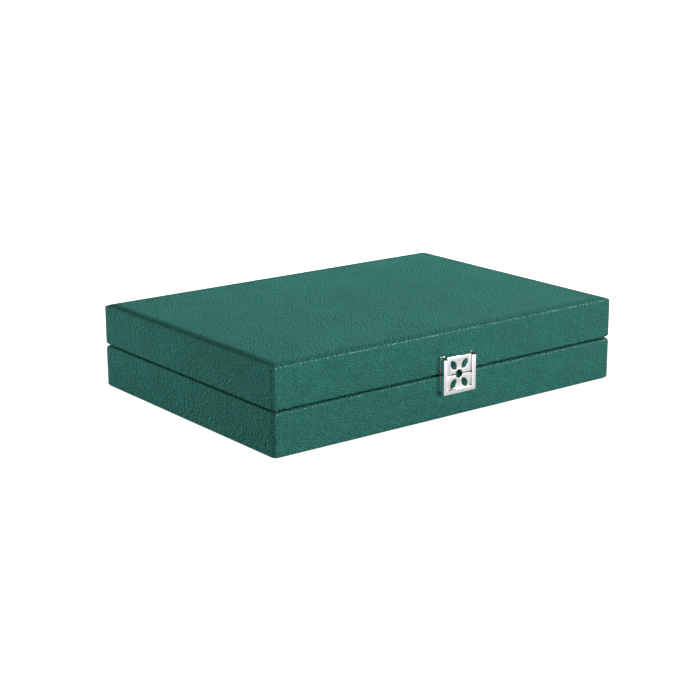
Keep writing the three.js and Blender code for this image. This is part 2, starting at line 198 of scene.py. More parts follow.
grainShape = {  # noise scales are per metre
    "wander": 0.0006,
    "wanderNoise": 320.0,
    "centre": (0.5, 0.5, 0.5),
    "randomness": 0.9,
    "smoothness": 0.3,
    "domeReach": 0.8,  # reaches are shares of a cell
    "creaseReach": 0.16,
    "creaseHeight": -0.5,
    "poreNoise": 2400.0,
    "poreHeight": 0.2,
    "patchNoise": 24.0,
}


def makePebbleGrain():  # soft domes between fine creases, with pores on them
    group, into, out = newGroup(
        "pebbleGrain",
        [("Vector", "NodeSocketVector", None), ("Cells per metre", "NodeSocketFloat", None),
         ("Wander", "NodeSocketFloat", grainShape["wander"])],
        ["Height", "Crease", "Patches"],
    )
    link = group.links.new
    shape = grainShape
    place = into.outputs["Vector"]
    wobble = addNode(group, "ShaderNodeTexNoise", {"Scale": shape["wanderNoise"], "Detail": 2.0})
    centred = addNode(group, "ShaderNodeVectorMath", {1: shape["centre"]}, operation="SUBTRACT")
    wander = addNode(group, "ShaderNodeVectorMath", operation="SCALE")
    moved = addNode(group, "ShaderNodeVectorMath", operation="ADD")
    link(place, wobble.inputs["Vector"])
    link(wobble.outputs["Color"], centred.inputs[0])
    link(centred.outputs[0], wander.inputs[0])
    link(into.outputs["Wander"], wander.inputs["Scale"])
    link(place, moved.inputs[0])
    link(wander.outputs[0], moved.inputs[1])
    cells = addNode(group, "ShaderNodeTexVoronoi", {
        "Randomness": shape["randomness"], "Smoothness": shape["smoothness"],
    }, feature="SMOOTH_F1")
    borders = addNode(group, "ShaderNodeTexVoronoi", {
        "Randomness": shape["randomness"],
    }, feature="DISTANCE_TO_EDGE")
    for texture in (cells, borders):
        link(moved.outputs[0], texture.inputs["Vector"])
        link(into.outputs["Cells per metre"], texture.inputs["Scale"])
    dome = mapped(group, cells.outputs["Distance"], 1.0, 0.0, 0.0, shape["domeReach"])
    crease = mapped(group, borders.outputs["Distance"], 1.0, 0.0, 0.0, shape["creaseReach"])
    pores = addNode(group, "ShaderNodeTexNoise", {
        "Scale": shape["poreNoise"], "Detail": 3.0, "Roughness": 0.6,
    })
    patches = addNode(group, "ShaderNodeTexNoise", {
        "Scale": shape["patchNoise"], "Detail": 3.0, "Roughness": 0.55,
    })
    link(place, pores.inputs["Vector"])
    link(place, patches.inputs["Vector"])
    sunk = combined(group, "MULTIPLY", crease, shape["creaseHeight"])
    pebbles = combined(group, "ADD", dome, sunk)
    pitted = combined(group, "MULTIPLY", pores.outputs["Fac"], shape["poreHeight"])
    link(combined(group, "ADD", pebbles, pitted), out.inputs["Height"])
    link(crease, out.inputs["Crease"])
    link(patches.outputs["Fac"], out.inputs["Patches"])
    return group


# where the painted highlight and the painted shade lie round each edge
edgeLightShape = {
    "halfWidth": 0.15,
    "halfDepth": 0.1055,
    "corner": 0.8 * mm,  # either side of a corner, where the front's share gives way to the sides'
    "slopeBegins": (0.5 * mm, 2.2 * mm),
    "slopeEnds": (3.5 * mm, 10.0 * mm),
    "slopeAbove": (-0.4 * mm, 0.2 * mm),  # heights from the ridge
    "frontSlope": 0.35,  # the front slope's share of the side slopes' painted shade
}


def makePaintedEdgeLight():  # painted highlight along the ridge round an edge, and painted shade on the slope inside it
    group, into, out = newGroup(
        "paintedEdgeLight",
        [("Vector", "NodeSocketVector", None),
         ("Half width", "NodeSocketFloat", edgeLightShape["halfWidth"]),
         ("Half depth", "NodeSocketFloat", edgeLightShape["halfDepth"]),
         ("Ridge inset", "NodeSocketFloat", None),
         ("Ridge height", "NodeSocketFloat", None),
         ("Ridge size", "NodeSocketFloat", None),
         ("Side share", "NodeSocketFloat", None)],
        ["Ridge", "Slope"],
    )
    link = group.links.new
    shape = edgeLightShape
    split = addNode(group, "ShaderNodeSeparateXYZ")
    link(into.outputs["Vector"], split.inputs[0])
    insets = [
        combined(group, "SUBTRACT", into.outputs[half], combined(group, "ABSOLUTE", split.outputs[axis], 0))
        for axis, half in (("X", "Half width"), ("Y", "Half depth"))
    ]
    inset = combined(group, "MINIMUM", *insets)
    sideways = combined(group, "SUBTRACT", inset, into.outputs["Ridge inset"])
    upwards = combined(group, "SUBTRACT", split.outputs["Z"], into.outputs["Ridge height"])
    squares = [combined(group, "MULTIPLY", way, way) for way in (sideways, upwards)]
    away = combined(group, "SQRT", combined(group, "ADD", *squares), 0)
    near = combined(group, "DIVIDE", away, into.outputs["Ridge size"])
    frontInset = combined(group, "ADD", split.outputs["Y"], into.outputs["Half depth"])
    closer = combined(group, "SUBTRACT", insets[0], frontInset)
    front = mapped(group, closer, 0.0, 1.0, -shape["corner"], shape["corner"])  # the painted highlight is full along the front edges
    share = combined(group, "MAXIMUM", front, into.outputs["Side share"])
    # painted highlight: the ridge mask, full along the front and only a share of it on the sides
    link(combined(group, "MULTIPLY", mapped(group, near, 1.0, 0.0), share), out.inputs["Ridge"])
    # painted shade: a darker band on the slope inside the ridge, fainter along the front
    begins = mapped(group, inset, 0.0, 1.0, *shape["slopeBegins"])
    ends = mapped(group, inset, 1.0, 0.0, *shape["slopeEnds"])
    above = mapped(group, upwards, 0.0, 1.0, *shape["slopeAbove"])
    slope = combined(group, "MULTIPLY", combined(group, "MULTIPLY", begins, ends), above)
    fade = mapped(group, front, 1.0, shape["frontSlope"])
    link(combined(group, "MULTIPLY", slope, fade), out.inputs["Slope"])
    return group


fibreShape = {"marksPerMetre": 30.0}


def makeFibres():  # short fibres that lie every way, and the marks of a hand across the nap
    group, into, out = newGroup(
        "fibres",
        [("Vector", "NodeSocketVector", None), ("Fibres per metre", "NodeSocketFloat", None),
         ("Marks per metre", "NodeSocketFloat", fibreShape["marksPerMetre"])],
        ["Height", "Marks"],
    )
    link = group.links.new
    nap = addNode(group, "ShaderNodeTexNoise", {"Detail": 5.0, "Roughness": 0.75, "Distortion": 0.6})
    marks = addNode(group, "ShaderNodeTexNoise", {"Detail": 3.0, "Roughness": 0.6, "Distortion": 1.2})
    for texture, scale in ((nap, "Fibres per metre"), (marks, "Marks per metre")):
        link(into.outputs["Vector"], texture.inputs["Vector"])
        link(into.outputs[scale], texture.inputs["Scale"])
    link(nap.outputs["Fac"], out.inputs["Height"])
    link(marks.outputs["Fac"], out.inputs["Marks"])
    return group


handlingShape = {
    "smearsPerMetre": 60.0,
    "hairlinesPerMetre": 900.0,
    "stretch": (0.08, 1.0, 1.0),
    "lie": (0.0, 0.5, 0.3),  # how the hairlines are turned, in radians
    "hairlineRange": (0.56, 0.72),
}


def makeHandling():  # faint smears and hairline scratches on polished or satin metal
    group, into, out = newGroup(
        "handling",
        [("Vector", "NodeSocketVector", None),
         ("Smears per metre", "NodeSocketFloat", handlingShape["smearsPerMetre"]),
         ("Hairlines per metre", "NodeSocketFloat", handlingShape["hairlinesPerMetre"])],
        ["Smears", "Hairlines"],
    )
    link = group.links.new
    shape = handlingShape
    smears = addNode(group, "ShaderNodeTexNoise", {"Detail": 3.0, "Distortion": 0.8})
    long = addNode(group, "ShaderNodeMapping", {"Scale": shape["stretch"], "Rotation": shape["lie"]})
    hair = addNode(group, "ShaderNodeTexNoise", {"Detail": 2.0, "Roughness": 0.7})
    link(into.outputs["Vector"], smears.inputs["Vector"])
    link(into.outputs["Vector"], long.inputs["Vector"])
    link(long.outputs["Vector"], hair.inputs["Vector"])
    link(into.outputs["Smears per metre"], smears.inputs["Scale"])
    link(into.outputs["Hairlines per metre"], hair.inputs["Scale"])
    link(smears.outputs["Fac"], out.inputs["Smears"])
    link(mapped(group, hair.outputs["Fac"], 0.0, 1.0, *shape["hairlineRange"]), out.inputs["Hairlines"])
    return group


pebbleGrain = makePebbleGrain()
paintedEdgeLight = makePaintedEdgeLight()
fibres = makeFibres()
handling = makeHandling()
noiseRange = (0.3, 0.7)  # where most of a noise's values lie


def placeGroup(tree, group, **scales):
    place = addNode(tree, "ShaderNodeTexCoord")
    node = addNode(tree, "ShaderNodeGroup", node_tree=group)
    for label, value in scales.items():
        node.inputs[label.replace("_", " ")].default_value = value
    tree.links.new(place.outputs["Object"], node.inputs["Vector"])
    return node


def blended(tree, factor, first, second):
    mix = addNode(tree, "ShaderNodeMix", data_type="RGBA")
    for socket, value in ((mix.inputs["A"], first), (mix.inputs["B"], second)):
        if isinstance(value, tuple):
            socket.default_value = value
        else:
            tree.links.new(value, socket)
    tree.links.new(factor, mix.inputs["Factor"])
    return mix.outputs["Result"]


def tinted(tree, factor, colour, otherColour, shade):
    toned = addNode(tree, "ShaderNodeVectorMath", operation="SCALE")
    tree.links.new(blended(tree, factor, colour, otherColour), toned.inputs[0])
    tree.links.new(shade, toned.inputs["Scale"])
    return toned.outputs[0]


def bumped(tree, shader, height, strength, depth):
    bump = addNode(tree, "ShaderNodeBump", {"Strength": strength, "Distance": depth})
    tree.links.new(height, bump.inputs["Height"])
    tree.links.new(bump.outputs["Normal"], shader.inputs["Normal"])


leatherLook = {
    "colour": (0.033, 0.171, 0.140, 1),
    "creaseColour": (0.029, 0.154, 0.126, 1),
    "patchShade": (0.94, 1.06),
    "domeRange": (0.4, 0.85),  # heights over which the painted highlight takes the tops of the grain's domes
    "hollowHighlight": 0.1,  # how much painted highlight the hollows get, as a share of the domes
    "cellsPerMetre": 540.0,
    "bumpStrength": 1.0,
    "bumpDepth": 0.85 * mm,
    "roughness": (0.55, 0.7),
    # painted shade on the slope inside each edge, as a share of the colour
    "slopeShade": 0.52,
    # the pale colour of the painted highlight along the ridge, and below it the sides' share of that
    # highlight
    "highlightColour": (0.25, 0.50, 0.44, 1),
    "sideShare": 0.15,
}


def makeLeather(name, look, ridge):
    material, tree, shader = newMaterial(name, Specular_IOR_Level=0.08)
    grain = placeGroup(tree, pebbleGrain, Cells_per_metre=look["cellsPerMetre"])
    edgePaint = placeGroup(tree, paintedEdgeLight, Ridge_inset=ridge["inset"], Ridge_height=ridge["height"],
                      Ridge_size=ridge["size"], Side_share=look["sideShare"])
    domes = mapped(tree, grain.outputs["Height"], look["hollowHighlight"] * ridge["paintedHighlight"], ridge["paintedHighlight"],
                   *look["domeRange"])
    # painted shade darkens the slope inside each edge
    shadedSlope = mapped(tree, edgePaint.outputs["Slope"], 1.0, look["slopeShade"], smooth=False)
    patches = mapped(tree, grain.outputs["Patches"], *look["patchShade"], *noiseRange)
    hide = tinted(tree, grain.outputs["Crease"], look["colour"], look["creaseColour"],
                  combined(tree, "MULTIPLY", shadedSlope, patches))
    # painted highlight: the ridge turns pale, mostly on the tops of the grain's domes
    paintedHighlight = combined(tree, "MULTIPLY", edgePaint.outputs["Ridge"], domes)
    tree.links.new(blended(tree, paintedHighlight, hide, look["highlightColour"]), shader.inputs["Base Color"])
    tree.links.new(mapped(tree, grain.outputs["Crease"], *look["roughness"]), shader.inputs["Roughness"])
    bumped(tree, shader, grain.outputs["Height"], look["bumpStrength"], look["bumpDepth"])
    return material


def makeNap(name, look):
    material, tree, shader = newMaterial(
        name, Roughness=0.95, Specular_IOR_Level=0.2, Sheen_Weight=look["sheen"], Sheen_Roughness=0.4
    )
    nap = placeGroup(tree, fibres, Fibres_per_metre=look["fibresPerMetre"])
    shade = mapped(tree, nap.outputs["Marks"], *look["markShade"], *noiseRange)
    tree.links.new(tinted(tree, nap.outputs["Height"], look["colour"], look["deepColour"], shade),
                   shader.inputs["Base Color"])
    bumped(tree, shader, nap.outputs["Height"], look["bumpStrength"], look["bumpDepth"])
    return material


def makeMetal(name, look):
    material, tree, shader = newMaterial(name, Base_Color=look["colour"], Metallic=1.0)
    marks = placeGroup(tree, handling)
    rough = mapped(tree, marks.outputs["Smears"], *look["roughness"], *look["smearRange"])
    scratch = combined(tree, "MULTIPLY", marks.outputs["Hairlines"], look["hairlines"])
    tree.links.new(combined(tree, "ADD", rough, scratch), shader.inputs["Roughness"])
    bumped(tree, shader, marks.outputs["Smears"], look["bumpStrength"], look["bumpDepth"])
    return material


# each ridge places a cover's painted highlight, and its last value is how strong that highlight is
lidLeatherMaterial = makeLeather("lidPebbledLeather", leatherLook, {
    "inset": 0.28 * mm, "height": 59.9 * mm, "size": 1.0 * mm, "paintedHighlight": 0.9,
})
baseLeatherMaterial = makeLeather("basePebbledLeather", leatherLook, {
    "inset": 0.3 * mm, "height": 29.7 * mm, "size": 0.85 * mm, "paintedHighlight": 0.75,
})
suede = makeNap("suedeLining", {
    "colour": (0.34, 0.31, 0.27, 1), "deepColour": (0.23, 0.21, 0.18, 1), "markShade": (0.86, 1.1),
    "sheen": 0.35, "fibresPerMetre": 2200.0, "bumpStrength": 0.5, "bumpDepth": 0.12 * mm,
})
felt = makeNap("pressedFelt", {
    "colour": (0.020, 0.052, 0.044, 1), "deepColour": (0.010, 0.028, 0.024, 1), "markShade": (0.85, 1.1),
    "sheen": 0.25, "fibresPerMetre": 1300.0, "bumpStrength": 0.8, "bumpDepth": 0.2 * mm,
})
chrome = makeMetal("polishedChrome", {
    "colour": (0.90, 0.905, 0.91, 1), "roughness": (0.05, 0.11), "smearRange": (0.35, 0.7),
    "hairlines": 0.05, "bumpStrength": 0.15, "bumpDepth": 0.05 * mm,
})
steel = makeMetal("satinSteel", {
    "colour": (0.55, 0.56, 0.57, 1), "roughness": (0.24, 0.36), "smearRange": (0.35, 0.7),
    "hairlines": 0.12, "bumpStrength": 0.15, "bumpDepth": 0.05 * mm,
})


def makeRubber(look):
    material, tree, shader = newMaterial("darkRubber", Specular_IOR_Level=0.4)
    marks = placeGroup(tree, handling, Smears_per_metre=look["smearsPerMetre"])
    shade = mapped(tree, marks.outputs["Hairlines"], *look["scuffShade"])
    tree.links.new(tinted(tree, marks.outputs["Smears"], look["colour"], look["deepColour"], shade),
                   shader.inputs["Base Color"])
    tree.links.new(mapped(tree, marks.outputs["Smears"], *look["roughness"]), shader.inputs["Roughness"])
    return material


rubber = makeRubber({
    "colour": (0.045, 0.047, 0.05, 1), "deepColour": (0.03, 0.031, 0.033, 1), "scuffShade": (1.0, 1.1),
    "roughness": (0.45, 0.65), "smearsPerMetre": 400.0,
})
board = makeNap("pressedBoard", {
    "colour": (0.36, 0.31, 0.24, 1), "deepColour": (0.25, 0.21, 0.16, 1), "markShade": (0.9, 1.08),
    "sheen": 0.0, "fibresPerMetre": 900.0, "bumpStrength": 0.3, "bumpDepth": 0.1 * mm,
})
print("stage: materials are ready")


coverShape = {
    "cornerRadius": 3 * mm,
    "cornerSegments": 8,
    "rimRadius": 2.2 * mm,
    "ridge": 0.9 * mm,  # the tight bend over the board's edge, then a soft slope up to the flat
    "slope": (7.0 * mm, 25),  # its width, and its steepest angle in degrees
    "roundSteps": 6,
    "flatLoop": 0.5 * mm,  # a loop beside each roll that keeps the flats flat
    "cornerCrease": 0.3 * mm,
    "thickness": 1 * mm,
    "gridSpacing": 6 * mm,
    "waves": 0.14 * mm,
    "waveLength": 0.045,
    "notchGap": 0.3 * mm,
    "mouthGap": 0.15 * mm,  # from the lining to the turned-in edge
    "feltGap": 0.3 * mm,
    "cornerReach": 0.05 * mm,  # how near a loop is to a corner's middle line when it lies on it
}


def rollOver(inwards, rise):  # moves that take a cap through a quarter of an ellipse
    steps = coverShape["roundSteps"]
    angles = [math.pi / 2 * i / steps for i in range(steps + 1)]
    return [
        (inwards * (math.cos(a) - math.cos(b)), rise * (math.sin(b) - math.sin(a)))
        for a, b in zip(angles, angles[1:])
    ]


def shoulderMoves():
    steps = coverShape["roundSteps"]
    width, steepest = coverShape["slope"]
    steep = math.radians(steepest)
    places = []
    for i in range(steps + 1):
        turn = (math.pi / 2 - steep) * i / steps
        places.append((coverShape["ridge"] * (1 - math.cos(turn)), coverShape["ridge"] * math.sin(turn)))
    start, radius = places[-1], width / math.sin(steep)
    for i in range(1, steps + 1):
        turn = steep * (1 - i / steps)
        places.append((start[0] + width - radius * math.sin(turn),
                       start[1] + radius * (math.cos(turn) - math.cos(steep))))
    return [(b[0] - a[0], b[1] - a[1]) for a, b in zip(places, places[1:])]


def growCap(half, moves):
    for inwards, rise in moves:
        now = (half[0] - inwards, half[1] - inwards)
        bpy.ops.mesh.extrude_region_move(TRANSFORM_OT_translate={"value": (0, 0, rise)})
        bpy.ops.transform.resize(
            value=(now[0] / half[0], now[1] / half[1], 1), center_override=(0, 0, 0)
        )
        half = now


def gridCuts(obj, low, high, spacing):
    for axis in range(3):
        count = round((high[axis] - low[axis]) / spacing)
        for i in range(1, count):
            spot, facing = Vector((0, 0, 0)), Vector((0, 0, 0))
            spot[axis] = low[axis] + (high[axis] - low[axis]) * i / count
            facing[axis] = 1
            bpy.ops.mesh.select_all(action="SELECT")
            bpy.ops.mesh.bisect(plane_co=spot, plane_no=facing)


def leatherCover(name, node, wallHeights, topMoves, topOpen, bottomMoves, bottomOpen):
    low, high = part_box(node)
    shape = coverShape
    obj = addBlock(name, (low.x, -high.y, wallHeights[0]), (high.x, high.y, wallHeights[1]))
    startEdit(obj)
    pickEdges(obj, lambda a, b: abs(a.z - b.z) > mm)
    bpy.ops.mesh.bevel(offset=shape["cornerRadius"], segments=shape["cornerSegments"], affect="EDGES")
    diagonal = shape["cornerRadius"] * (1 - math.sqrt(0.5))
    reach = shape["cornerReach"]
    pickEdges(obj, lambda a, b: all(
        abs(abs(p.x) - high.x + diagonal) < reach and abs(abs(p.y) - high.y + diagonal) < reach
        for p in (a, b)
    ))
    creased = 1 - shape["cornerCrease"] / high.x
    bpy.ops.transform.resize(value=(creased, creased, 1), center_override=(0, 0, 0))
    ends = ((wallHeights[1], topMoves, topOpen), (wallHeights[0], bottomMoves, bottomOpen))
    for edge, moves, isOpen in ends:
        pickFaces(obj, lambda place, normal: abs(place.z - edge) < touch and abs(normal.z) > level)
        growCap((high.x, high.y), moves)
        if isOpen:
            bpy.ops.mesh.delete(type="FACE")
    gridCuts(obj, low, high, shape["gridSpacing"])
    bpy.ops.mesh.select_all(action="SELECT")
    bpy.ops.mesh.normals_make_consistent(inside=False)
    endEdit()
    waves = bpy.data.textures.new(name + "Waves", "CLOUDS")
    waves.noise_scale = shape["waveLength"]
    applyModifier(obj, "DISPLACE", texture=waves, texture_coords="LOCAL",
                  strength=shape["waves"], mid_level=0.5)
    applyModifier(obj, "SOLIDIFY", thickness=shape["thickness"], offset=-1, use_even_offset=True)
    grow = Vector([shape["notchGap"]] * 3)
    side = "base" if node.startswith("base") else "lid"
    cutters = []
    for hinge in ("left", "right"):
        leafLow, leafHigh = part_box(f"hinge_{hinge}_{side}_leaf")
        cutters.append(addBlock("notchCutter", leafLow - grow, leafHigh + grow))
    cutAway(obj, cutters)
    smoothByAngle(obj)
    dress(obj, side, "leather", baseLeatherMaterial if side == "base" else lidLeatherMaterial, node)


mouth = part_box("lid_front_lining")[1].x + coverShape["mouthGap"]
rim = coverShape["rimRadius"]
flat = (coverShape["flatLoop"], 0)


def rimMoves(outer, sign):
    landing = outer - rim - coverShape["flatLoop"] - mouth
    return [*rollOver(rim, sign * rim), flat, (landing, 0)]


lidLow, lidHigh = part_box("lid_leather_cover")
baseLow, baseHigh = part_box("base_leather_cover")
feltLow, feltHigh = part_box("base_felt")
shoulder = shoulderMoves()
drop = sum(rise for _, rise in shoulder)
margin = baseHigh.x - rim - coverShape["flatLoop"] - feltHigh.x - coverShape["feltGap"]
leatherCover(
    "lidLeather", "lid_leather_cover", (lidLow.z + rim, lidHigh.z - drop),
    [*shoulder, flat], False, rimMoves(lidHigh.x, -1), True,
)
leatherCover(
    "baseLeather", "base_leather_cover", (baseLow.z + rim, baseHigh.z - rim),
    rimMoves(baseHigh.x, 1), True, [*rollOver(rim, -rim), flat, (margin, 0)], True,
)
print("stage: leather covers are wrapped")

topBoardShape = {
    "cornerRadius": 1.8 * mm,
    "cornerSegments": 4,
    "chamfer": [(0.5 * mm, 0.6 * mm), (6 * mm, 1.1 * mm)],  # inwards and up, from the edge
    "sharp": 30,
}


def addTopBoard():  # planed down round its edge, so that the leather can slope over it
    low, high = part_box("lid_top_board")
    planed = sum(rise for _, rise in topBoardShape["chamfer"])
    obj = addBlock("lidTopBoard", low, high - Vector((0, 0, planed)))
    startEdit(obj)
    pickEdges(obj, lambda a, b: abs(a.z - b.z) > mm)
    bpy.ops.mesh.bevel(
        offset=topBoardShape["cornerRadius"], segments=topBoardShape["cornerSegments"], affect="EDGES"
    )
    pickFaces(obj, lambda place, normal: normal.z > level)
    growCap((high.x, high.y), topBoardShape["chamfer"])
    endEdit()
    smoothByAngle(obj, topBoardShape["sharp"])
    dress(obj, "lid", "board", board, "lid_top_board")


addTopBoard()

liningShape = {
    "edgeRound": 0.6 * mm,
    "segments": 4,
    "gridSpacing": 9 * mm,
    "waves": 0.1 * mm,
    "waveLength": 0.03,
}


def softenFaces(obj, shape):
    low, high = (
        Vector(end(corner[i] for corner in obj.bound_box) for i in range(3)) for end in (min, max)
    )
    startEdit(obj)
    gridCuts(obj, low, high, shape["gridSpacing"])
    endEdit()
    waves = bpy.data.textures.new(obj.name + "Waves", "CLOUDS")
    waves.noise_scale = shape["waveLength"]
    applyModifier(obj, "DISPLACE", texture=waves, texture_coords="LOCAL",
                  strength=shape["waves"], mid_level=1.0)
    smoothByAngle(obj)


def addLining(body, side):  # suede wrapped over a card, its rim edge rolled
    node = f"{body}_{side}_lining"
    low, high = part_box(node)
    obj = addBlock(f"{body}{side.title()}Lining", low, high)
    rimHeight = high.z if body == "base" else low.z
    startEdit(obj)
    pickEdges(obj, lambda a, b: abs(a.z - rimHeight) < touch and abs(b.z - rimHeight) < touch)
    bpy.ops.mesh.bevel(offset=liningShape["edgeRound"], segments=liningShape["segments"], affect="EDGES")
    endEdit()
    softenFaces(obj, liningShape)
    dress(obj, body, "suede", suede, node)


for body in ("base", "lid"):
    for side in ("front", "back", "left", "right"):
        addLining(body, side)

floorLiningShape = {"edgeRound": 0.5 * mm, "segments": 3}


def addFloorLining():
    low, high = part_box("base_floor_lining")
    obj = addBlock("floorLining", low, high)
    startEdit(obj)
    pickEdges(obj, lambda a, b: min(a.z, b.z) > high.z - touch)
    bpy.ops.mesh.bevel(
        offset=floorLiningShape["edgeRound"], segments=floorLiningShape["segments"], affect="EDGES"
    )
    endEdit()
    softenFaces(obj, liningShape)
    dress(obj, "base", "suede", suede, "base_floor_lining")


addFloorLining()

dividerShape = {"edgeRound": 1.2 * mm, "segments": 5, "sharp": 50}
for node, name in (
    ("divider_long", "longDivider"),
    ("divider_cross_1", "crossDivider1"),
    ("divider_cross_2", "crossDivider2"),
    ("divider_cross_3", "crossDivider3"),
):
    divider = copyOf(node, name)
    roundEdges(divider, dividerShape["edgeRound"], dividerShape["segments"], dividerShape["sharp"])
    dress(divider, "base", "suede", suede, node)
print("stage: linings and dividers are in")

feltShape = {
    "edgeRound": 0.5 * mm,
    "segments": 3,
    "gridSpacing": 8 * mm,
    "waves": 0.08 * mm,
    "waveLength": 0.02,
}


def addFelt():
    obj = addBlock("feltSheet", feltLow, feltHigh)
    startEdit(obj)
    bpy.ops.mesh.select_all(action="SELECT")
    bpy.ops.mesh.bevel(offset=feltShape["edgeRound"], segments=feltShape["segments"], affect="EDGES")
    endEdit()
    softenFaces(obj, feltShape)
    dress(obj, "base", "felt", felt, "base_felt")


addFelt()

bumperShape = {"sides": 40, "dome": 0.5 * mm, "segments": 5}
for side in ("left", "right"):
    low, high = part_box(f"rim_bumper_{side}")
    deselectAll()
    bpy.ops.mesh.primitive_cylinder_add(
        vertices=bumperShape["sides"], radius=(high.x - low.x) / 2, depth=high.z - low.z,
        location=(low + high) / 2)
    bumper = settleInMesh(bpy.context.object, f"{side}Bumper")
    startEdit(bumper)
    pickEdges(bumper, lambda a, b: min(a.z, b.z) > high.z - touch)
    bpy.ops.mesh.bevel(offset=bumperShape["dome"], segments=bumperShape["segments"], affect="EDGES")
    endEdit()
    smoothByAngle(bumper)
    dress(bumper, "base", "bumper", rubber, f"rim_bumper_{side}")

padShape = {
    "inset": 0.6 * mm,
    "topGap": 0.1 * mm,
    "slack": 1.6 * mm,  # how much thinner the slab is before it is filled
    "voxel": 2.6 * mm,
    "pressure": 4.0,
    "frames": 20,
    "reach": 1.5 * mm,  # the furthest that the filling moves any point
    "channelInset": 15 * mm,
    "channelDepth": 1.1 * mm,
    "channelWidth": 2.0 * mm,
    "cornerRadius": 8 * mm,
}


def fillPad(obj, shape):
    start = [v.co.copy() for v in obj.data.vertices]
    makeActive(obj)
    cloth = obj.modifiers.new("filling", "CLOTH")
    cloth.settings.use_pressure = True
    cloth.settings.uniform_pressure_force = shape["pressure"]
    cloth.settings.effector_weights.gravity = 0
    for frameNumber in range(1, shape["frames"] + 1):
        bpy.context.scene.frame_set(frameNumber)
    bpy.ops.object.modifier_apply(modifier=cloth.name)
    bpy.context.scene.frame_set(1)
    moves = [v.co - before for v, before in zip(obj.data.vertices, start)]
    share = min(1.0, shape["reach"] / max(move.length for move in moves))
    for vertex, before, move in zip(obj.data.vertices, start, moves):
        vertex.co = before + move * share


def fromChannel(place, halfWidth, halfDepth, corner):  # how far it is from a rounded rectangle
    across = Vector((abs(place.x) - halfWidth + corner, abs(place.y) - halfDepth + corner))
    outside = Vector((max(across.x, 0), max(across.y, 0))).length
    return abs(outside + min(max(across.x, across.y), 0) - corner)


def addPad():
    low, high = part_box("lid_pad")
    shape = padShape
    lowTrim = Vector((shape["inset"], shape["inset"], shape["slack"]))
    highTrim = Vector((shape["inset"], shape["inset"], shape["topGap"]))
    obj = addBlock("lidPad", low + lowTrim, high - highTrim)
    obj.data.remesh_voxel_size = shape["voxel"]
    bpy.ops.object.voxel_remesh()
    fillPad(obj, shape)
    applyModifier(obj, "SUBSURF", levels=1, render_levels=1)
    halfWidth, halfDepth = high.x - shape["channelInset"], high.y - shape["channelInset"]
    for vertex in obj.data.vertices:
        away = fromChannel(vertex.co, halfWidth, halfDepth, shape["cornerRadius"])
        if vertex.co.z < (low.z + high.z) / 2:
            vertex.co.z += shape["channelDepth"] * math.exp(-(away / shape["channelWidth"]) ** 2)
        vertex.co.z = min(vertex.co.z, high.z)
    makeActive(obj)
    bpy.ops.object.shade_smooth()
    dress(obj, "lid", "suede", suede, "lid_pad")


addPad()
print("stage: felt, bumpers and pad are in")

claspShape = {"plateEdge": 0.16 * mm, "bailEdge": 0.32 * mm, "segments": 3}
for node, name, body, edge in (
    ("clasp_lid_plate", "claspLidPlate", "lid", "plateEdge"),
    ("clasp_keeper_plate", "claspKeeperPlate", "base", "plateEdge"),
    ("clasp_bail", "claspBail", "bail", "bailEdge"),
):
    plate = copyOf(node, name)
    roundEdges(plate, claspShape[edge], claspShape["segments"])
    dress(plate, body, "chrome", chrome, node)

pinShape = {"sides": 32, "dome": 0.5, "segments": 4}  # the dome is a share of the pin's radius


def addPin(node, name, body, slot, material):
    low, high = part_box(node)
    radius = (high.z - low.z) / 2
    deselectAll()
    bpy.ops.mesh.primitive_cylinder_add(
        vertices=pinShape["sides"], radius=radius, depth=high.x - low.x, location=(low + high) / 2,
        rotation=(0, math.pi / 2, 0))
    pin = settleInMesh(bpy.context.object, name)
    startEdit(pin)
    pickEdges(pin, lambda a, b: abs(a.x - b.x) < touch)
    bpy.ops.mesh.bevel(offset=radius * pinShape["dome"], segments=pinShape["segments"], affect="EDGES")
    endEdit()
    smoothByAngle(pin)
    dress(pin, body, slot, material, node)


addPin("clasp_pin", "claspPin", "lid", "chrome", chrome)
print("stage: the clasp is on")

hingeShape = {"edge": 0.14 * mm, "segments": 2}
screwShape = {
    "sides": 32,
    "neck": 0.95 * mm,
    "disc": 0.1 * mm,  # the thin disc that the head and shank grow from
    "sinkDepth": 0.75 * mm,
    "tip": 1.4 * mm,
    "point": 0.12 * mm,
    "crown": 0.12 * mm,
    "crownSegments": 3,
    "sharp": 30,
    "slot": (1.5 * mm, 0.34 * mm, 0.42 * mm),  # half length, width, depth
}


